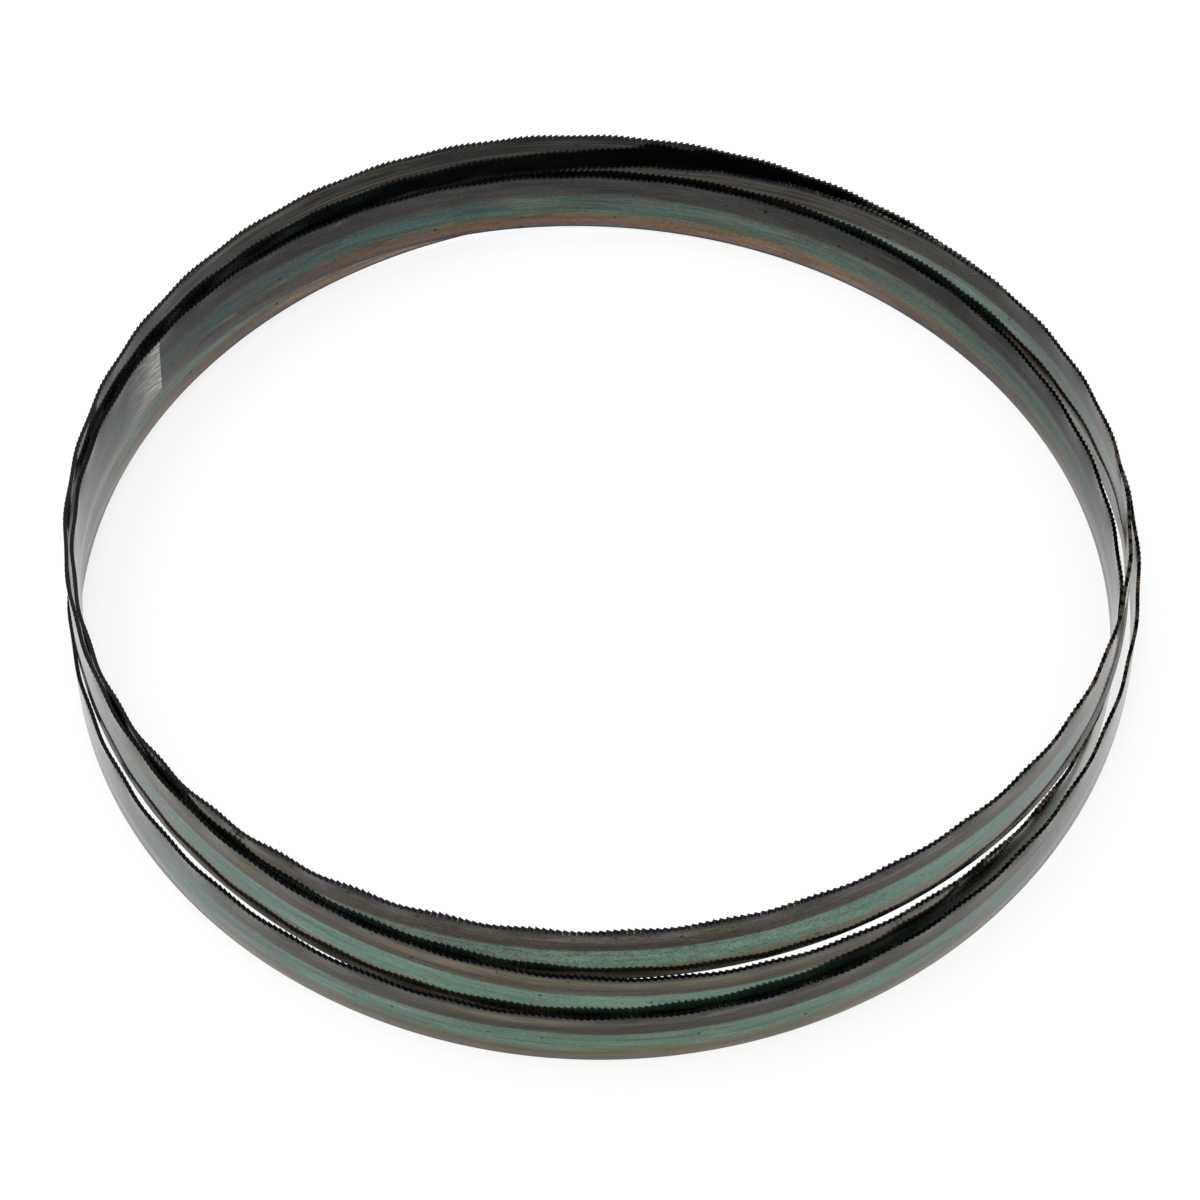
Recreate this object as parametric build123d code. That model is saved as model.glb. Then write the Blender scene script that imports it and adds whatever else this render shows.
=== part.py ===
from build123d import *
from math import cos, pi, sin
import os

import numpy

# A band saw blade: one closed loop of toothed steel strip, coiled in three turns.
# It stands on its back edge with the teeth up. +Z is up, and the origin is on the table,
# under the middle of the coil.

# The strip
band_length = 1638.0      # once round the closed loop
band_width = 13.0         # from the back edge to the tooth tips
band_thickness = 0.65
tooth_pitch = 1.27        # from tip to tip
tooth_depth = 0.55        # from the tips down to the gullets
tip_place = 0.72          # where a tip stands between its gullets, 1 being the one it faces
teeth_per_facet = 6       # the strip is bent in short flat facets of so many teeth

# The coil
turn_gap = 0.55           # free space that goes with the strip's thickness from turn to turn

# How the loop lies, at each eighth of a turn, clockwise from the right as seen from above.
# Each place has three values: how far the strip runs outside the mean circle, in turn pitches;
# how high its back edge lies above the table, in band widths; and how far the strip leans
# outward, in degrees. The loop lies low in front and on the left, climbs over its own last
# turn on the right, drops inside to the table at the back, and climbs over its first turn on
# the left before it comes down again outside.
coil = [
    [   # first turn: outermost in front, then under the third turn to the middle at the back
        (1.65, 0.18, -0.5), (0.70, 0.05, 1.5), (0.45, 0.00, 2.0), (0.35, 0.00, 0.5),
        (0.40, 0.00, 0.0), (-0.15, 0.01, 0.5), (-0.65, 0.20, 0.5), (-0.75, 0.65, -0.5),
    ],
    [   # second turn: over the third on the right, highest and innermost in front
        (-0.15, 1.13, -2.5), (-0.55, 1.52, -1.0), (-0.85, 1.61, 0.0), (-1.30, 1.29, -1.0),
        (-0.95, 0.86, 0.5), (-1.00, 0.43, 0.5), (-1.50, 0.07, 1.0), (-2.05, 0.00, 2.5),
    ],
    [   # third turn: in the middle in front, over the first on the left, then outermost
        (-1.10, 0.02, 1.5), (-0.75, 0.37, 2.5), (-0.05, 0.75, 0.5), (-0.35, 1.02, -2.0),
        (0.10, 1.10, -1.0), (0.70, 1.00, -4.5), (1.55, 0.61, -2.0), (2.55, 0.26, -1.5),
    ],
]

# Worked out from the sizes above
turns = len(coil)
turn_pitch = band_thickness + turn_gap
facets_per_turn = round(band_length / (turns * teeth_per_facet * tooth_pitch))
facets = turns * facets_per_turn
up = Vector(0, 0, 1)


def closed_curve(values):
    """A smooth curve through evenly spaced values that closes on itself, from 0 to 1."""
    count = len(values)
    values = numpy.array(values, dtype=float)
    before = numpy.roll(numpy.eye(count), -1, axis=1)
    after = numpy.roll(numpy.eye(count), 1, axis=1)
    bending = numpy.roll(values, 1) - 2 * values + numpy.roll(values, -1)
    second = numpy.linalg.solve(before + 4 * numpy.eye(count) + after, 6 * bending)

    def at(part):
        place = (part % 1.0) * count
        left = int(place) % count
        right = (left + 1) % count
        far = place - int(place)
        near = 1 - far
        straight = near * values[left] + far * values[right]
        bow = (near**3 - near) * second[left] + (far**3 - far) * second[right]
        return float(straight + bow / 6)

    return at


stations = [station for turn in coil for station in turn]
offset_at = closed_curve([station[0] for station in stations])
height_at = closed_curve([station[1] for station in stations])
lean_at = closed_curve([station[2] for station in stations])


def back_edge(mean_radius):
    """The middle of the back edge, at each bend between two facets."""
    points = []
    for number in range(facets):
        part = number / facets
        angle = -2 * pi * turns * part
        radius = mean_radius + turn_pitch * offset_at(part)
        height = band_width * max(height_at(part), 0)
        points.append(Vector(radius * cos(angle), radius * sin(angle), height))
    return points


def run(points):
    """The length of a closed row of points."""
    return sum((points[number] - points[number - 1]).length for number in range(len(points)))


# The mean circle is as wide as the strip's length allows
mean_radius = band_length / (2 * pi * turns)
mean_radius += (band_length - run(back_edge(mean_radius))) / (2 * pi * turns)
line = back_edge(mean_radius)


def facet_frame(number):
    """A facet's outward normal, and the direction across the strip, from back to teeth."""
    along = (line[(number + 1) % facets] - line[number]).normalized()
    outward = up.cross(along).normalized()
    across = along.cross(outward)
    lean = lean_at((number + 0.5) / facets) * pi / 180
    normal = outward * cos(lean) - across * sin(lean)
    width_way = across * cos(lean) + outward * sin(lean)
    return normal, width_way


frames = [facet_frame(number) for number in range(facets)]


def bend(number):
    """The corners at a bend, as spring steel folds: on the line where two flat facets cross.

    Each of the inner side, the middle and the outer side has its corner at the back edge, at
    the gullets and at the tips.
    """
    normal_before, width_before = frames[number - 1]
    normal_after, width_after = frames[number]
    fold = normal_before.cross(normal_after).normalized()
    width_way = (width_before + width_after).normalized()
    if fold.dot(width_way) < 0:
        fold = -fold
    mitre = (normal_before + normal_after) * (1 / (1 + normal_before.dot(normal_after)))
    stretch = 1 / fold.dot(width_way)
    corners = {}
    for side in (-1, 0, 1):
        foot = line[number] + mitre * (side * band_thickness / 2)
        foot += fold * ((line[number].Z - foot.Z) / fold.Z)
        gullet = foot + fold * ((band_width - tooth_depth) * stretch)
        tip = foot + fold * (band_width * stretch)
        corners[side] = (foot, gullet, tip)
    return corners


bends = [bend(number) for number in range(facets)]


def between(start, end, part):
    return start + (end - start) * part


def facet_outline(number, side):
    """One side of a facet: its back edge, then its teeth from the far end to the near one."""
    near, far = bends[number], bends[(number + 1) % facets]
    normal = frames[number][0]
    outline = [near[side][0], far[side][0], far[side][1]]
    for tooth in reversed(range(teeth_per_facet)):
        tip = between(near[0][2], far[0][2], (tooth + tip_place) / teeth_per_facet)
        outline.append(tip + normal * (side * band_thickness / 2))
        if tooth > 0:
            gullet = between(near[0][1], far[0][1], tooth / teeth_per_facet)
            outline.append(gullet + normal * (side * band_thickness / 2))
    outline.append(near[side][1])
    return outline


def panel(first, second, third, fourth):
    """A four-cornered face, flat where its corners allow that and else a little twisted."""
    normal = (second - first).cross(fourth - first).normalized()
    if abs(normal.dot(third - first)) < band_thickness / 1e6:
        return Face(Wire.make_polygon([first, second, third, fourth]))
    return Face.make_bezier_surface([[first, second], [fourth, third]])


def facet_faces(number):
    """The two flat sides of a facet, its back edge and the flanks of its teeth."""
    inner, outer = facet_outline(number, -1), facet_outline(number, 1)
    faces = [Face(Wire.make_polygon(inner)), Face(Wire.make_polygon(outer))]
    corners = len(inner)
    for first in range(corners):
        second = (first + 1) % corners
        at_a_bend = first == 1 or second == 0
        if not at_a_bend:
            faces.append(panel(inner[first], inner[second], outer[second], outer[first]))
    return faces


skin = []
for number in range(facets):
    skin += facet_faces(number)
blade = Solid(Shell(skin))

# The origin goes under the middle of the coil
box = blade.bounding_box()
blade = Pos(-box.center().X, -box.center().Y, -box.min.Z) * blade

os.makedirs("parts", exist_ok=True)
export_step(blade, "parts/saw_band.step")
print("teeth", facets * teeth_per_facet)
print("mean radius", round(mean_radius, 2), "centre moved by", box.center())
print("valid", blade.is_valid, "volume", round(blade.volume, 1))
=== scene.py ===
from collections import namedtuple
from math import cos, exp, pi, radians, sin

import bmesh
import bpy
import numpy
from mathutils import Matrix, Vector


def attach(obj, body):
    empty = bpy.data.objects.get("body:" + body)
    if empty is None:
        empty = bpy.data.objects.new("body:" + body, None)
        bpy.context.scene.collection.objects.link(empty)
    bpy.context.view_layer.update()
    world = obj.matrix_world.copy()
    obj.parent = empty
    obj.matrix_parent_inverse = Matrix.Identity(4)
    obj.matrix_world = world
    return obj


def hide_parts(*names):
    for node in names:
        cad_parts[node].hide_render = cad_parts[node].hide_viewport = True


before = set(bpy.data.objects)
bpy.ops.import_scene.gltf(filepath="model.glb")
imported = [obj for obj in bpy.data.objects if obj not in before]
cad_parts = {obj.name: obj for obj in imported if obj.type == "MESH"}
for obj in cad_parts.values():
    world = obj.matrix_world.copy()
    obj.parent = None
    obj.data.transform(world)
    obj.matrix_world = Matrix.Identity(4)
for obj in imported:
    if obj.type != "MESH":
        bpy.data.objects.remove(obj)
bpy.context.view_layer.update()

# A band saw blade: one closed loop of heat-tinted steel strip, coiled in three turns. The strip
# is made flat, with all its teeth, and then coiled on the same line as in the part's source.
# Lengths are in metres.

# The strip
BAND_LENGTH = 1.638
BAND_WIDTH = 0.013
BAND_THICKNESS = 0.00065
TURN_GAP = 0.00055
TEETH = 1548
TOOTH_DEPTH = 0.00052
EDGE_ROUND = 0.00009      # of the back edge
WELD_PLACE = 0.8600       # how far along the loop its two ends are welded
SAME = 1e-6               # places closer than this are the same

# The set of the teeth, which lean to one side and the other in waves
SET_WAVES = 117
SET_PHASE = 0.083         # of a wave, at the start of the loop
SET_AMOUNT = 0.00015      # how far the tips lean out
SET_START = 0.0017        # from the tips down to where the strip starts to lean
STRONG_SET_PLACE = 0.92   # where the set is stronger, as a share of the strip
STRONG_SET_SPREAD = 0.03
STRONG_SET_MORE = 0.7     # by how much, as a share of the set

# Where a tooth's corners stand, in tooth pitches, and whether each is a tip
TOOTH_CORNERS = [(0.06, False), (0.74, True), (0.90, False)]

# Rows of corners across the strip, from the back edge up to under the gullets
UNDER_GULLETS = 0.0011
ROWS = [0.0, 0.0045, 0.0090, BAND_WIDTH - SET_START, BAND_WIDTH - UNDER_GULLETS]

# How the faces of the flat strip are told apart, by how far their normals point some way
CUT_ASIDE = 0.5           # a tooth's cut faces point less than this to the strip's sides
FRONT_FORWARD = 0.5       # the front of a tooth points more than this along the strip
GULLET_UP = 0.98          # the floor of a gullet points more than this out of the edge
CREASE = radians(35)      # a sharper edge than this shows as an edge

# How the loop lies, at each eighth of a turn, clockwise from the right as seen from above:
# how far outside the mean circle, in turn pitches, how high its back edge lies, in band
# widths, and how far it leans outward, in degrees
COIL = [
    (1.65, 0.18, -0.5), (0.70, 0.05, 1.5), (0.45, 0.00, 2.0), (0.35, 0.00, 0.5),
    (0.40, 0.00, 0.0), (-0.15, 0.01, 0.5), (-0.65, 0.20, 0.5), (-0.75, 0.65, -0.5),
    (-0.15, 1.13, -2.5), (-0.55, 1.52, -1.0), (-0.85, 1.61, 0.0), (-1.30, 1.29, -1.0),
    (-0.95, 0.86, 0.5), (-1.00, 0.43, 0.5), (-1.50, 0.07, 1.0), (-2.05, 0.00, 2.5),
    (-1.10, 0.02, 1.5), (-0.75, 0.37, 2.5), (-0.05, 0.75, 0.5), (-0.35, 1.02, -2.0),
    (0.10, 1.10, -1.0), (0.70, 1.00, -4.5), (1.55, 0.61, -2.0), (2.55, 0.26, -1.5),
]
TURNS = 3
TURN_PITCH = BAND_THICKNESS + TURN_GAP
LINE_STEPS = 24000
LOOK_ASIDE = 1e-5         # a share of the loop, over which its direction is read
SEAM_REACH = 2e-5         # corners of the two ends this close become one at the weld
UP = numpy.array([0.0, 0.0, 1.0])

# Single colours of the steel's finish, and of the painted sheen, shade and glints on it, as on a screen
PALE_TEAL = "#6b7c74"
PALE_BROWN = "#867564"
RUST_BROWN = "#7d573b"
BLUE_TEAL = "#3e5856"
# Greys that the outer tint turns to at the coil's sides: a painted sheen
GREY_TEAL = "#6b8285"
PLAIN_GREY = "#626465"
GREY_BROWN = "#676157"
SHADE_BLACK = "#2c2b2a"
# Painted shade on the strip's edges
DARK_LINE = "#3a3836"
GOLD_LINE = "#5c5040"
BLUE_LINE = "#263c40"
TAN_STAIN = "#7a725e"
GOLD_FLECK = "#6f6a48"
BLUE_MOTTLE = "#5f7f80"
BARE_SCRATCH = "#98938a"
AT_TEETH = "#191a1b"
CUT_FACE = "#252729"
# Glints on the fronts of the teeth: partly bare steel, partly painted highlights
OLIVE_GLINT = "#8c8a74"
COPPER_GLINT = "#a48a72"

# The steel
METALLIC = 0.92
EDGE_TINT = (0.9, 0.9, 0.9, 1.0)
LEAST_ROUGH, MOST_ROUGH = 0.08, 0.14    # from one rolled line to the next
GROUND_ROUGH = 0.26
CUT_ROUGH = 0.4
GRINDING_DEPTH = 0.0001
MILLIMETRES = 1000.0      # in a metre
SIDES_APART = 40.0        # how far apart the strip's two sides are in the patterns, in mm
WAVER = 0.06              # how far the bands of tint waver, as a share of the width

# The weld's ground patch: how much it slants over the width, and how ragged its edge is, as
# shares of the strip's length
GROUND_SLANT = -0.0022
GROUND_RAGGED = 0.0018

# The studio
FLOOR_REACH = 4.0
FLOOR_COLOUR = (0.42, 0.42, 0.42, 1.0)
FLOOR_SEEN = 0.70         # how brightly the floor shows, beside the light that falls on it
FLOOR_MIRRORED = 0.56     # and how brightly the steel mirrors it
ROOM_COLOUR = (1.0, 1.0, 1.0, 1.0)
ROOM_LIGHT = 0.9
LAMP_SIZE = 1.2
LAMP_POWER = 4.0
LAMP_PLACE = (-0.3, 0.2, 1.2)

# The camera's place, in front of the coil, how it is turned, and its lens in millimetres
CAMERA_DISTANCE = 0.74762
CAMERA_SIDEWAYS = 0.00842
CAMERA_ELEVATION = radians(53.120)
CAMERA_DIP = radians(-0.103)
CAMERA_YAW = radians(-1.162)
CAMERA_ROLL = radians(-0.308)
FOCAL_LENGTH = 133.69
SENSOR_WIDTH = 36.0
NEAREST_SEEN = 0.05


def closed_curve(values):
    """A smooth curve through evenly spaced values that closes on itself, from 0 to 1."""
    count = len(values)
    values = numpy.array(values, dtype=float)
    before = numpy.roll(numpy.eye(count), -1, axis=1)
    after = numpy.roll(numpy.eye(count), 1, axis=1)
    bending = numpy.roll(values, 1) - 2 * values + numpy.roll(values, -1)
    second = numpy.linalg.solve(before + 4 * numpy.eye(count) + after, 6 * bending)

    def at(part):
        place = (part % 1.0) * count
        left = place.astype(int) % count
        right = (left + 1) % count
        far = place - numpy.floor(place)
        near = 1 - far
        straight = near * values[left] + far * values[right]
        bow = (near**3 - near) * second[left] + (far**3 - far) * second[right]
        return straight + bow / 6

    return at


offset_at = closed_curve([station[0] for station in COIL])
height_at = closed_curve([station[1] for station in COIL])
lean_at = closed_curve([station[2] for station in COIL])


def back_edge(part, mean_radius):
    """The middle of the back edge, at parts of the way round the loop."""
    angle = -2 * pi * TURNS * part
    radius = mean_radius + TURN_PITCH * offset_at(part)
    height = BAND_WIDTH * numpy.maximum(height_at(part), 0)
    return numpy.stack([radius * numpy.cos(angle), radius * numpy.sin(angle), height], axis=-1)


def unit(vectors):
    return vectors / numpy.linalg.norm(vectors, axis=-1, keepdims=True)


def reached(mean_radius):
    """How far along the back edge each of many even steps round the loop is."""
    line = back_edge(numpy.linspace(0, 1, LINE_STEPS + 1), mean_radius)
    runs = numpy.linalg.norm(numpy.diff(line, axis=0), axis=1)
    return numpy.concatenate([[0], numpy.cumsum(runs)])


# The mean circle is as wide as the strip's length allows
mean_radius = BAND_LENGTH / (2 * pi * TURNS)
mean_radius += (BAND_LENGTH - reached(mean_radius)[-1]) / (2 * pi * TURNS)


def coiled(flat):
    """Where the points of the flat strip lie once it is coiled."""
    lengths = reached(mean_radius)
    along = (flat[:, 0] / BAND_LENGTH + WELD_PLACE / BAND_LENGTH) % 1.0
    part = numpy.interp(along * lengths[-1], lengths, numpy.linspace(0, 1, LINE_STEPS + 1))
    ahead = back_edge(part + LOOK_ASIDE, mean_radius)
    behind = back_edge(part - LOOK_ASIDE, mean_radius)
    tangent = unit(ahead - behind)
    outward = unit(numpy.cross(UP, tangent))
    across = numpy.cross(tangent, outward)
    lean = numpy.radians(lean_at(part))[:, None]
    normal = outward * numpy.cos(lean) - across * numpy.sin(lean)
    width_way = across * numpy.cos(lean) + outward * numpy.sin(lean)
    return back_edge(part, mean_radius) + width_way * flat[:, 1:2] - normal * flat[:, 2:3]


def toothed_sheet(bm):
    """One side of the flat strip: a grid of one unit, drawn out to the rows and the teeth."""
    columns = TEETH * len(TOOTH_CORNERS)
    rows = len(ROWS)
    bmesh.ops.create_grid(bm, x_segments=columns, y_segments=rows, size=0.5)
    tooth_pitch = BAND_LENGTH / TEETH
    for vert in bm.verts:
        column = round((vert.co.x + 0.5) * columns)
        row = round((vert.co.y + 0.5) * rows)
        place, is_tip = TOOTH_CORNERS[column % len(TOOTH_CORNERS)]
        vert.co.x = (column // len(TOOTH_CORNERS) + place) * tooth_pitch
        if row < rows:
            vert.co.y = ROWS[row]
        else:
            vert.co.y = BAND_WIDTH if is_tip else BAND_WIDTH - TOOTH_DEPTH
    bmesh.ops.recalc_face_normals(bm, faces=bm.faces[:])


def flat_strip():
    """The strip before it is coiled: its length along X, its teeth at +Y, its inner side at +Z."""
    bm = bmesh.new()
    toothed_sheet(bm)
    bmesh.ops.solidify(bm, geom=bm.faces[:], thickness=BAND_THICKNESS)
    middle = sum(vert.co.z for vert in bm.verts) / len(bm.verts)
    bmesh.ops.translate(bm, verts=bm.verts[:], vec=(0, 0, -middle))
    corners = [
        edge for edge in bm.edges
        if all(vert.co.y < SAME for vert in edge.verts)
        and edge.verts[0].co.z * edge.verts[1].co.z > 0
    ]
    bmesh.ops.bevel(
        bm, geom=corners, affect="EDGES", offset=EDGE_ROUND, segments=2, profile=0.5, material=-1
    )
    start = min(vert.co.x for vert in bm.verts)
    ends = [
        face for face in bm.faces
        if all(vert.co.x < start + SAME for vert in face.verts)
        or all(vert.co.x > start + BAND_LENGTH - SAME for vert in face.verts)
    ]
    bmesh.ops.delete(bm, geom=ends, context="FACES")
    bmesh.ops.recalc_face_normals(bm, faces=bm.faces[:])
    return bm


def mark(bm):
    """The strip's own map, U along it and V across it, and what its material tells apart."""
    uv = bm.loops.layers.uv.new("strip")
    outer_side = bm.verts.layers.float.new("outer_side")
    flank = bm.faces.layers.float.new("tooth_flank")
    rake = bm.faces.layers.float.new("tooth_rake")
    for vert in bm.verts:
        vert[outer_side] = 0.0 if vert.co.z > 0 else 1.0
    for face in bm.faces:
        face.smooth = True
        at_teeth = face.calc_center_median().y > BAND_WIDTH / 2
        if at_teeth and abs(face.normal.z) < CUT_ASIDE:
            face[flank] = 1.0
            if face.normal.x > FRONT_FORWARD or face.normal.y > GULLET_UP:
                face[rake] = 1.0
        for loop in face.loops:
            loop[uv].uv = (loop.vert.co.x / BAND_LENGTH, loop.vert.co.y / BAND_WIDTH)
    for edge in bm.edges:
        if len(edge.link_faces) == 2 and edge.calc_face_angle() > CREASE:
            edge.smooth = False


def set_teeth(bm):
    """The teeth lean out of the strip, in waves along it."""
    for vert in bm.verts:
        leaning = max(0.0, (vert.co.y - BAND_WIDTH + SET_START) / SET_START)
        wave = cos(2 * pi * (SET_WAVES * (vert.co.x + WELD_PLACE) / BAND_LENGTH + SET_PHASE))
        away = (vert.co.x / BAND_LENGTH - STRONG_SET_PLACE) / STRONG_SET_SPREAD
        strength = 1 + STRONG_SET_MORE * exp(-(away ** 2))
        vert.co.z -= SET_AMOUNT * strength * wave * leaning


def coil_up(bm):
    """The strip goes into its turns, centred over the origin, and its two ends are welded."""
    places = coiled(numpy.array([vert.co for vert in bm.verts]))
    lowest, highest = places.min(axis=0), places.max(axis=0)
    places -= [(lowest[0] + highest[0]) / 2, (lowest[1] + highest[1]) / 2, 0]
    for vert, place in zip(bm.verts, places):
        vert.co = place
    open_ends = [vert for vert in bm.verts if vert.is_boundary]
    bmesh.ops.remove_doubles(bm, verts=open_ends, dist=SEAM_REACH)


def saw_band():
    """The whole blade."""
    bm = flat_strip()
    mark(bm)
    set_teeth(bm)
    coil_up(bm)
    mesh = bpy.data.meshes.new("saw_band_strip")
    bm.to_mesh(mesh)
    bm.free()
    strip = bpy.data.objects.new("saw_band_strip", mesh)
    bpy.context.scene.collection.objects.link(strip)
    return strip


def linear(code):
    """A colour that is written as on a screen, as the material needs it."""
    parts = [int(code[place:place + 2], 16) / 255 for place in (1, 3, 5)]
    return [p / 12.92 if p <= 0.04045 else ((p + 0.055) / 1.055) ** 2.4 for p in parts] + [1.0]


def add(tree, kind, inputs=None, **settings):
    """A node of the material, with its inputs given as values or as other nodes' outputs."""
    node = tree.nodes.new("ShaderNode" + kind)
    for name, value in settings.items():
        setattr(node, name, value)
    for name, value in (inputs or {}).items():
        if isinstance(value, bpy.types.NodeSocket):
            tree.links.new(value, node.inputs[name])
        else:
            node.inputs[name].default_value = value
    return node


def maths(tree, operation, *values):
    return add(tree, "Math", dict(enumerate(values)), operation=operation).outputs[0]


def both(tree, first, second):
    """A mask where two masks meet."""
    return maths(tree, "MULTIPLY", first, second)


def blend(tree, share, first, second, way="MIX"):
    """Two colours, blended. Each is another node's output, or is written as on a screen."""
    first, second = (linear(c) if isinstance(c, str) else c for c in (first, second))
    inputs = {0: share, 6: first, 7: second}
    return add(tree, "Mix", inputs, data_type="RGBA", blend_type=way).outputs[2]


def ramp(tree, value, stops):
    """Colours or numbers at places from 0 to 1."""
    node = add(tree, "ValToRGB", {"Fac": value})
    elements = node.color_ramp.elements
    while len(elements) < len(stops):
        elements.new(1.0)
    for element, (place, colour) in zip(elements, stops):
        element.position = place
        element.color = linear(colour) if isinstance(colour, str) else [colour] * 3 + [1.0]
    return node.outputs["Color"]


def between(tree, value, low, start, end, high):
    """A mask that is 1 from start to end, and fades to 0 at low and at high."""
    return ramp(tree, value, [(low, 0.0), (start, 1.0), (end, 1.0), (high, 0.0)])


def marked(tree, name):
    """A mask that is stored on the strip's mesh."""
    return add(tree, "Attribute", attribute_name=name).outputs["Fac"]


def noise(tree, place, stretch, detail=2.0, roughness=0.5, distortion=0.0):
    """Soft noise with so many grains to the millimetre along the strip and across it."""
    drawn = add(tree, "Mapping", {"Vector": place, "Scale": (stretch[0], stretch[1], 1.0)})
    inputs = {
        "Vector": drawn.outputs[0], "Scale": 1.0, "Detail": detail,
        "Roughness": roughness, "Distortion": distortion,
    }
    return add(tree, "TexNoise", inputs).outputs["Fac"]


def turned(tree, place, degrees):
    """The places of a pattern whose lines run aslant over the strip."""
    return add(tree, "Mapping", {"Vector": place, "Rotation": (0.0, 0.0, radians(degrees))}).outputs[0]


# Where a point of the strip is. Along it is the share of its length from the weld: the inner
# turn at the back ends at 0.142, the middle one in front at 0.308, the outer one at the back at
# 0.475, the lowest in front at 0.642, the middle one at the back at 0.808 and the highest in
# front at 0.975, where the inner one starts. Across it is the share of its width, from the back
# edge to the tips. Place is both in millimetres, outer is 1 on the outer side, and in_bands is
# the share across the bands of tint, which waver. Teal and upper are masks of the teal band and
# of the brown one above it.
Spot = namedtuple("Spot", "along across place outer in_bands teal upper")


def strip_spot(tree):
    uv = add(tree, "UVMap", uv_map="strip").outputs["UV"]
    shares = add(tree, "SeparateXYZ", {"Vector": uv})
    along, across = shares.outputs["X"], shares.outputs["Y"]
    outer = marked(tree, "outer_side")
    place = add(tree, "CombineXYZ", {
        "X": maths(tree, "MULTIPLY", along, BAND_LENGTH * MILLIMETRES),
        "Y": maths(tree, "MULTIPLY", across, BAND_WIDTH * MILLIMETRES),
        "Z": maths(tree, "MULTIPLY", outer, SIDES_APART),
    }).outputs[0]
    drift = ramp(tree, along, [
        (0.13, 0.50), (0.16, 0.25), (0.29, 0.25), (0.33, 0.50), (0.46, 0.50), (0.49, 0.70),
        (0.63, 0.70), (0.66, 0.50),
    ])
    waver = maths(tree, "ADD", noise(tree, place, (0.035, 0.7), detail=3.0), drift)
    waver = maths(tree, "MULTIPLY_ADD", waver, WAVER, -WAVER)
    in_bands = maths(tree, "ADD", across, waver)
    teal = ramp(tree, in_bands, [(0.24, 0.0), (0.30, 1.0), (0.58, 1.0), (0.65, 0.0)])
    upper = ramp(tree, in_bands, [(0.61, 0.0), (0.64, 1.0)])
    return Spot(along, across, place, outer, in_bands, teal, upper)


def outer_tint(tree, spot):
    """The outer side's bands, from the back edge up: olive brown, a light line, teal, brown."""
    return ramp(tree, spot.in_bands, [
        (0.00, "#2e2a26"), (0.03, "#4a4338"), (0.08, "#58503c"), (0.20, "#5f583d"),
        (0.240, "#6e6c45"), (0.265, "#5f7a6c"), (0.30, "#63806f"), (0.60, "#638071"),
        (0.635, "#514d40"), (0.69, "#4b4437"), (0.78, "#504a3b"), (0.88, "#5a5645"),
        (0.925, "#494846"),
    ])


def inner_tint(tree, spot):
    """The inner side's bands, which run out into grey towards the weld. Some stretches are paler,
    rusty or bluer."""
    rich = ramp(tree, spot.in_bands, [
        (0.00, "#3c3c3c"), (0.05, "#565452"), (0.10, "#6a5950"), (0.20, "#655548"),
        (0.26, "#60624f"), (0.34, "#55645b"), (0.56, "#52605a"), (0.63, "#4c4b43"),
        (0.70, "#42413f"), (0.86, "#3a3d3d"),
    ])
    plain = ramp(tree, spot.in_bands, [
        (0.05, "#3a3a3a"), (0.12, "#3b3a3a"), (0.25, "#3e3c3b"), (0.36, "#3e4c49"),
        (0.58, "#3b4744"), (0.66, "#323232"), (0.90, "#2e2e2f"),
    ])
    richness = ramp(tree, spot.along, [
        (0.004, 0.0), (0.020, 0.35), (0.036, 0.8), (0.055, 1.0), (0.095, 1.0), (0.125, 0.5),
        (0.600, 0.5), (0.660, 1.0), (0.800, 1.0), (0.960, 0.3), (0.980, 0.0),
    ])
    tint = blend(tree, richness, plain, rich)
    pale_teal = ramp(tree, spot.along, [
        (0.63, 0.0), (0.66, 0.8), (0.765, 0.8), (0.785, 0.3), (0.82, 0.0),
    ])
    tint = blend(tree, both(tree, pale_teal, spot.teal), tint, PALE_TEAL)
    pale_foot = ramp(tree, spot.along, [
        (0.058, 0.0), (0.070, 0.5), (0.083, 0.5), (0.094, 0.0), (0.680, 0.0), (0.700, 0.9),
        (0.720, 0.9), (0.735, 0.0),
    ])
    pale_foot = both(tree, pale_foot, between(tree, spot.across, 0.02, 0.06, 0.22, 0.30))
    tint = blend(tree, pale_foot, tint, PALE_BROWN)
    rusty = ramp(tree, noise(tree, spot.place, (0.05, 0.9), detail=3.0), [(0.40, 0.1), (0.60, 0.6)])
    rusty = both(tree, rusty, between(tree, spot.along, 0.020, 0.032, 0.080, 0.095))
    rusty = both(tree, rusty, between(tree, spot.in_bands, 0.05, 0.09, 0.17, 0.22))
    tint = blend(tree, rusty, tint, RUST_BROWN)
    bluer = ramp(tree, noise(tree, spot.place, (0.035, 0.25), detail=3.0), [(0.42, 0.0), (0.58, 0.55)])
    bluer = both(tree, both(tree, bluer, spot.teal), between(tree, spot.along, 0.0, 0.010, 0.040, 0.080))
    return blend(tree, bluer, tint, BLUE_TEAL)


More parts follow.
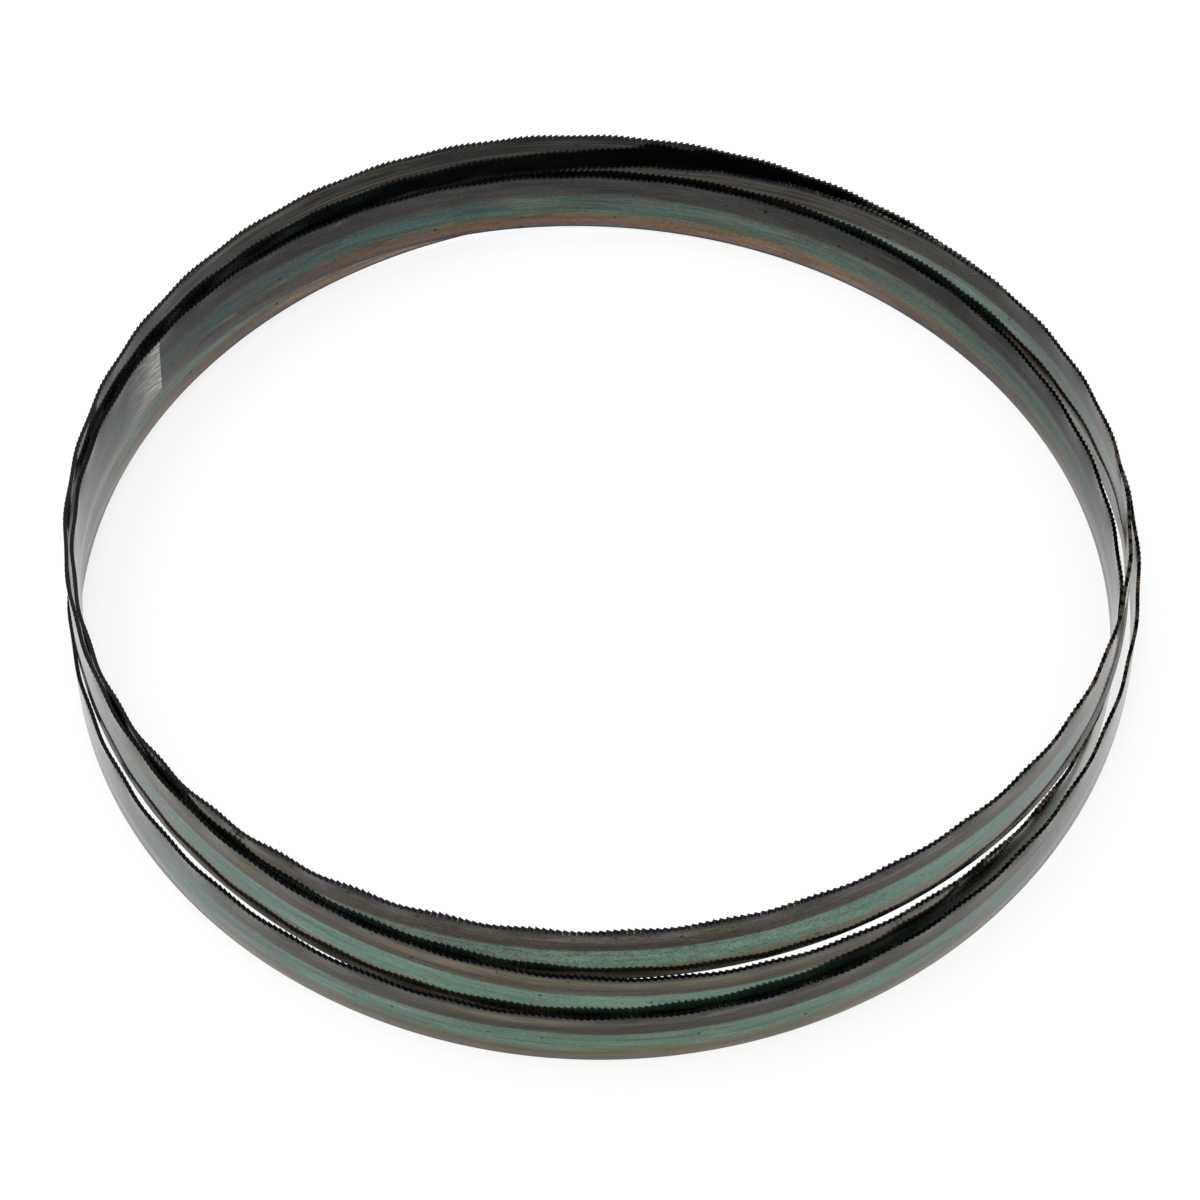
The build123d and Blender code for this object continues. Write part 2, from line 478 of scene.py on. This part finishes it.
def toned(tree, spot, tint):
    """Turn by turn the brown and the teal are lighter or darker; the foot gets painted shade in
    stretches.
    """
    brown_tone = ramp(tree, spot.along, [
        (0.00, "#ffffff"), (0.070, "#ffffff"), (0.090, "#d0d0d0"), (0.105, "#b8b8b8"),
        (0.125, "#bcbcbc"), (0.150, "#ffffff"), (0.26, "#ffffff"), (0.33, "#a6a6a6"),
        (0.36, "#b8b8b8"), (0.39, "#d8d8d8"), (0.46, "#c8ccd0"), (0.50, "#d2d6e4"),
        (0.62, "#d2d6e4"), (0.66, "#fff8f0"), (0.750, "#fff8f0"), (0.770, "#e4e0dc"),
        (0.785, "#b4b0ae"), (0.80, "#c0bcba"), (0.83, "#dddcdc"), (0.96, "#dddcdc"),
        (0.99, "#ffffff"),
    ])
    teal_tone = ramp(tree, spot.along, [
        (0.31, "#ffffff"), (0.48, "#f8f3f0"), (0.63, "#f8f3f0"), (0.66, "#ffffff"),
        (0.772, "#ffffff"), (0.785, "#e2e2e2"), (0.80, "#ffffff"), (0.888, "#ffffff"),
        (0.902, "#f9e3e7"), (0.92, "#f9e3e7"), (0.94, "#ffffff"),
    ])
    # Painted shade at the strip's foot, darker in a few stretches
    foot_shade = ramp(tree, spot.along, [
        (0.000, "#d8d8d8"), (0.012, "#ececec"), (0.020, "#ffffff"), (0.090, "#ffffff"),
        (0.102, "#e0e0e0"), (0.125, "#e0e0e0"), (0.145, "#ffffff"), (0.560, "#ffffff"),
        (0.578, "#dcdada"), (0.590, "#ffffff"), (0.965, "#ffffff"), (0.978, "#c8c8c8"),
    ])
    foot = ramp(tree, spot.in_bands, [(0.20, 1.0), (0.25, 0.0)])
    tone = blend(tree, spot.upper, blend(tree, foot, teal_tone, foot_shade), brown_tone)
    return blend(tree, 1.0, tint, tone, way="MULTIPLY")


def sheened_and_shaded(tree, spot, tint):
    """At the coil's sides the outer tint greys, a painted sheen; in one place, painted shade on the
    edges.
    """
    # The grey near the coil's left and right sides is a painted sheen, the glancing reflection of the
    # bright room
    side_sheen = ramp(tree, spot.along, [
        (0.238, 0.0), (0.253, 0.35), (0.267, 0.55), (0.281, 0.95), (0.320, 0.95), (0.360, 0.0),
        (0.470, 0.9), (0.505, 0.9), (0.526, 0.25), (0.550, 0.0), (0.566, 0.0), (0.581, 0.25),
        (0.596, 0.5), (0.610, 0.95), (0.650, 0.95), (0.700, 0.0), (0.780, 0.0), (0.800, 0.9),
        (0.833, 0.9), (0.846, 0.35), (0.860, 0.2), (0.880, 0.0),
    ])
    side_sheen = both(tree, side_sheen, spot.outer)
    sheened_teal = ramp(tree, side_sheen, [(0.25, GREY_TEAL), (0.85, PLAIN_GREY)])
    tint = blend(tree, side_sheen, tint, blend(tree, spot.teal, GREY_BROWN, sheened_teal))
    # Painted shade on the strip's edges, on the lowest turn in front just past the coil's right side
    near_edges = ramp(tree, spot.across, [(0.20, 0.7), (0.32, 0.0), (0.78, 0.0), (0.88, 0.7)])
    darkened = both(tree, near_edges, between(tree, spot.along, 0.490, 0.508, 0.514, 0.524))
    return blend(tree, darkened, tint, SHADE_BLACK)


def rolled(tree, spot, tint, lines):
    """Lines rolled along the strip, fine grains and uneven patches, and broad dark lines."""
    line_share = ramp(tree, spot.along, [
        (0.00, 0.45), (0.12, 0.55), (0.15, 0.70), (0.83, 0.70), (0.87, 0.35), (0.91, 0.40),
        (0.96, 0.55),
    ])
    lines = ramp(tree, lines, [(0.32, 0.18), (0.68, 0.82)])
    tint = blend(tree, line_share, tint, lines, way="SOFT_LIGHT")
    grain = noise(tree, spot.place, (1.3, 2.0), detail=3.0, roughness=0.7)
    tint = blend(tree, 0.35, tint, ramp(tree, grain, [(0.3, 0.1), (0.7, 0.9)]), way="SOFT_LIGHT")
    uneven = noise(tree, spot.place, (0.06, 0.40), detail=4.0, roughness=0.65, distortion=0.8)
    tint = blend(tree, 0.40, tint, ramp(tree, uneven, [(0.3, 0.1), (0.7, 0.9)]), way="SOFT_LIGHT")
    broad = ramp(tree, noise(tree, spot.place, (0.015, 1.1), detail=3.0), [(0.45, 0.0), (0.62, 0.45)])
    return blend(tree, both(tree, spot.upper, both(tree, broad, spot.outer)), tint, DARK_LINE)


def gold_and_blue_lines(tree, spot, tint):
    """Long lines in the dark band under the teeth on the inner side."""
    inner = maths(tree, "SUBTRACT", 1.0, spot.outer)
    inner_upper = both(tree, both(tree, inner, ramp(tree, spot.along, [
        (0.00, 0.1), (0.14, 0.3), (0.30, 1.0), (0.80, 1.0), (0.97, 0.1),
    ])), spot.upper)
    gold = ramp(tree, noise(tree, spot.place, (0.013, 1.4), detail=3.0), [(0.54, 0.0), (0.62, 0.7)])
    tint = blend(tree, both(tree, gold, inner_upper), tint, GOLD_LINE)
    blue = ramp(tree, noise(tree, spot.place, (0.025, 1.0), detail=2.0), [(0.30, 0.7), (0.42, 0.0)])
    return blend(tree, both(tree, blue, inner_upper), tint, BLUE_LINE)


def stained(tree, spot, tint):
    """Pale tan stains under the teeth, and gold flecks along the lower edge of the teal."""
    scattered = noise(tree, spot.place, (0.10, 0.8), detail=4.0, roughness=0.6)
    scattered = ramp(tree, scattered, [(0.52, 0.0), (0.66, 0.6)])
    scattered = both(tree, scattered, maths(tree, "MULTIPLY_ADD", spot.outer, 0.7, 0.3))
    wisps = ramp(tree, noise(tree, spot.place, (0.12, 1.4), detail=3.0), [(0.42, 0.35), (0.58, 1.0)])
    large_stains = ramp(tree, spot.along, [
        (0.192, 0.0), (0.204, 0.55), (0.219, 0.55), (0.228, 0.0), (0.232, 0.9), (0.240, 0.9),
        (0.245, 0.0), (0.558, 0.0), (0.562, 0.7), (0.570, 0.7), (0.576, 0.0), (0.875, 0.0),
        (0.883, 0.5), (0.893, 0.5), (0.903, 0.0),
    ])
    stains = maths(tree, "MAXIMUM", scattered, both(tree, wisps, large_stains))
    under_teeth = between(tree, spot.across, 0.74, 0.82, 0.90, 0.93)
    tint = blend(tree, both(tree, stains, under_teeth), tint, TAN_STAIN)
    flecks = ramp(tree, noise(tree, spot.place, (0.18, 1.3), detail=4.0), [(0.54, 0.0), (0.64, 0.8)])
    teal_edge = between(tree, spot.in_bands, 0.17, 0.22, 0.27, 0.36)
    return blend(tree, both(tree, flecks, teal_edge), tint, GOLD_FLECK)


def oxidised(tree, spot, tint):
    """Dark clouds and specks of oxide, thickest on the highest turn in front, and dark spots."""
    thick = between(tree, spot.along, 0.850, 0.872, 0.905, 0.930)
    clouds = noise(tree, spot.place, (0.45, 0.8), detail=6.0, roughness=0.75, distortion=0.4)
    clouds = ramp(tree, clouds, [(0.40, 0.6), (0.56, 1.0)])
    tint = blend(tree, both(tree, thick, 0.8), tint, clouds, way="MULTIPLY")
    specks = noise(tree, spot.place, (2.4, 2.6), detail=3.0, roughness=0.6)
    specks = maths(tree, "MULTIPLY_ADD", thick, -0.11, specks)
    specks = ramp(tree, specks, [(0.27, 0.3), (0.35, 1.0)])
    tint = blend(tree, 0.8, tint, specks, way="MULTIPLY")
    spots = ramp(tree, noise(tree, spot.place, (0.7, 0.9), detail=0.0), [(0.17, 0.2), (0.21, 1.0)])
    return blend(tree, 1.0, tint, spots, way="MULTIPLY")


def mottled(tree, spot, tint):
    """A patch of blue mottling on the lowest turn in front."""
    patch = both(tree, spot.outer, between(tree, spot.along, 0.596, 0.601, 0.609, 0.614))
    mottling = noise(tree, spot.place, (0.9, 1.2), detail=5.0, roughness=0.8)
    mottling = ramp(tree, mottling, [(0.47, 0.0), (0.55, 0.8)])
    return blend(tree, both(tree, patch, mottling), tint, BLUE_MOTTLE)


def scratched(tree, spot, tint):
    """Groups of short scratches."""
    scratches = noise(tree, turned(tree, spot.place, -32), (0.25, 4.0), detail=1.0)
    scratches = ramp(tree, scratches, [(0.68, 0.0), (0.74, 1.0)])
    groups = ramp(tree, noise(tree, spot.place, (0.05, 0.12), detail=2.0), [(0.56, 0.0), (0.64, 0.5)])
    return blend(tree, both(tree, scratches, groups), tint, BARE_SCRATCH)


def weld_grinding(tree, spot):
    """Where the steel is ground beside the weld's seam, and the strokes of the grinding."""
    strokes = noise(tree, turned(tree, spot.place, 16), (0.22, 3.2), detail=3.0, roughness=0.6)
    patch = maths(tree, "MULTIPLY_ADD", spot.across, GROUND_SLANT, spot.along)
    patch = maths(tree, "MULTIPLY_ADD", strokes, GROUND_RAGGED, patch)
    patch = ramp(tree, patch, [(0.9953, 0.0), (0.9975, 1.0)])
    above_back_edge = ramp(tree, spot.across, [(0.06, 0.0), (0.16, 1.0)])
    return both(tree, patch, above_back_edge), strokes


def welded(tree, spot, tint, ground, strokes):
    """The weld: ground bright on one side of the seam, and blued again on the other."""
    bright = ramp(tree, strokes, [(0.34, "#787674"), (0.50, "#9a9794"), (0.62, "#d8d3ce")])
    tint = blend(tree, ground, tint, bright)
    blued = ramp(tree, spot.along, [(0.0, 0.0), (0.0004, 0.7), (0.0025, 0.5), (0.0050, 0.0)])
    bands = ramp(tree, spot.across, [(0.15, "#5a4636"), (0.35, "#3c4c44"), (0.80, "#333a38")])
    return blend(tree, blued, tint, bands)


def toothed(tree, spot, tint, flank):
    """Black teeth; on a few fronts a pale or copper glint, partly bare steel and partly a painted
    highlight.
    """
    at_teeth = ramp(tree, spot.across, [(0.945, 0.0), (0.965, 0.6)])
    tint = blend(tree, at_teeth, tint, AT_TEETH)
    tint = blend(tree, flank, tint, CUT_FACE)
    tooth = maths(tree, "FLOOR", maths(tree, "MULTIPLY", spot.along, float(TEETH)))
    chance = add(tree, "TexWhiteNoise", {"W": tooth}, noise_dimensions="1D").outputs["Value"]
    together = noise(tree, spot.place, (0.03, 0.01), detail=2.0)
    # More glints, and coppery ones, where each turn passes the coil's right side: painted highlights on
    # tooth fronts facing the camera
    more_glints_at_right = ramp(tree, spot.along, [
        (0.135, 0.0), (0.148, 0.2), (0.172, 0.2), (0.190, 0.0), (0.465, 0.0), (0.476, 0.2),
        (0.500, 0.2), (0.520, 0.0), (0.797, 0.0), (0.810, 0.2), (0.832, 0.2), (0.850, 0.0),
    ])
    often = maths(tree, "MULTIPLY_ADD", chance, together, more_glints_at_right)
    # The glint on a tooth's front: partly bare steel, partly a painted highlight
    bare_and_glinting = ramp(tree, often, [(0.38, 0.0), (0.50, 0.85)])
    copper = maths(tree, "MULTIPLY_ADD", more_glints_at_right, 3.0, 0.15)
    glint = blend(tree, copper, OLIVE_GLINT, COPPER_GLINT)
    return blend(tree, both(tree, marked(tree, "tooth_rake"), bare_and_glinting), tint, glint)


def tinted_steel():
    """Blued spring steel: black teeth, and bands of heat tint that run along the strip."""
    material = bpy.data.materials.new("heat_tinted_spring_steel")
    material.use_nodes = True
    tree = material.node_tree
    spot = strip_spot(tree)
    lines = noise(tree, spot.place, (0.06, 3.4), detail=4.0, roughness=0.65)
    ground, strokes = weld_grinding(tree, spot)
    flank = marked(tree, "tooth_flank")

    tint = blend(tree, spot.outer, inner_tint(tree, spot), outer_tint(tree, spot))
    tint = toned(tree, spot, tint)
    tint = sheened_and_shaded(tree, spot, tint)
    tint = rolled(tree, spot, tint, lines)
    tint = gold_and_blue_lines(tree, spot, tint)
    tint = stained(tree, spot, tint)
    tint = oxidised(tree, spot, tint)
    tint = mottled(tree, spot, tint)
    tint = scratched(tree, spot, tint)
    tint = welded(tree, spot, tint, ground, strokes)
    tint = toothed(tree, spot, tint, flank)

    rough = ramp(tree, lines, [(0.3, LEAST_ROUGH), (0.7, MOST_ROUGH)])
    rough = maths(tree, "MAXIMUM", rough, both(tree, ground, GROUND_ROUGH))
    rough = maths(tree, "MAXIMUM", rough, both(tree, flank, CUT_ROUGH))
    relief = add(tree, "Bump", {
        "Height": both(tree, strokes, ground), "Strength": 0.25, "Distance": GRINDING_DEPTH,
    })
    steel = tree.nodes["Principled BSDF"]
    steel.inputs["Metallic"].default_value = METALLIC
    steel.inputs["Specular Tint"].default_value = EDGE_TINT
    tree.links.new(tint, steel.inputs["Base Color"])
    tree.links.new(rough, steel.inputs["Roughness"])
    tree.links.new(relief.outputs[0], steel.inputs["Normal"])
    return material


def dress(strip):
    strip.data.materials.append(tinted_steel())
    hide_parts("saw_band")
    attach(strip, "root")


def white_table():
    """The floor's finish: white to the camera and in the steel, with the blade's shadow on it."""
    material = bpy.data.materials.new("white_table")
    material.use_nodes = True
    tree = material.node_tree
    tree.nodes.remove(tree.nodes["Principled BSDF"])
    table = add(tree, "BsdfDiffuse", {"Color": FLOOR_COLOUR})
    path = add(tree, "LightPath")
    seen = maths(tree, "MULTIPLY", path.outputs["Is Camera Ray"], FLOOR_SEEN)
    mirrored = maths(tree, "MULTIPLY", path.outputs["Is Glossy Ray"], FLOOR_MIRRORED)
    glow = add(tree, "Emission", {"Strength": maths(tree, "MAXIMUM", seen, mirrored)})
    shone = add(tree, "AddShader", {0: table.outputs[0], 1: glow.outputs[0]})
    tree.links.new(shone.outputs[0], tree.nodes["Material Output"].inputs["Surface"])
    return material


def white_floor():
    bm = bmesh.new()
    bmesh.ops.create_grid(bm, x_segments=1, y_segments=1, size=FLOOR_REACH)
    mesh = bpy.data.meshes.new("white_floor")
    bm.to_mesh(mesh)
    bm.free()
    floor = bpy.data.objects.new("white_floor", mesh)
    bpy.context.scene.collection.objects.link(floor)
    floor.data.materials.append(white_table())


def studio_light():
    """A white room, with one broad soft lamp overhead."""
    world = bpy.data.worlds.new("studio")
    bpy.context.scene.world = world
    world.use_nodes = True
    background = world.node_tree.nodes["Background"]
    background.inputs["Color"].default_value = ROOM_COLOUR
    background.inputs["Strength"].default_value = ROOM_LIGHT
    lamp = bpy.data.lights.new("softbox", "AREA")
    lamp.shape = "SQUARE"
    lamp.size = LAMP_SIZE
    lamp.energy = LAMP_POWER
    holder = bpy.data.objects.new("softbox", lamp)
    holder.location = LAMP_PLACE
    holder.rotation_euler = (-holder.location).to_track_quat("-Z", "Y").to_euler()
    bpy.context.scene.collection.objects.link(holder)


def camera():
    """The camera, in front of the coil and looking down at it, as the photo's was."""
    down = CAMERA_ELEVATION + CAMERA_DIP
    sight = Vector((sin(CAMERA_YAW) * cos(down), cos(CAMERA_YAW) * cos(down), -sin(down)))
    level = Vector((cos(CAMERA_YAW), -sin(CAMERA_YAW), 0))
    rise = level.cross(sight)
    right = cos(CAMERA_ROLL) * level + sin(CAMERA_ROLL) * rise
    top = -sin(CAMERA_ROLL) * level + cos(CAMERA_ROLL) * rise
    lens = bpy.data.cameras.new("camera")
    lens.lens = FOCAL_LENGTH
    lens.sensor_width = SENSOR_WIDTH
    lens.clip_start = NEAREST_SEEN
    holder = bpy.data.objects.new("camera", lens)
    holder.rotation_euler = Matrix((right, top, -sight)).transposed().to_euler()
    height = CAMERA_DISTANCE * sin(CAMERA_ELEVATION)
    holder.location = (CAMERA_SIDEWAYS, -CAMERA_DISTANCE * cos(CAMERA_ELEVATION), height)
    bpy.context.scene.collection.objects.link(holder)
    bpy.context.scene.camera = holder


strip = saw_band()
dress(strip)
white_floor()
studio_light()
camera()
bpy.context.scene.view_settings.view_transform = "Standard"
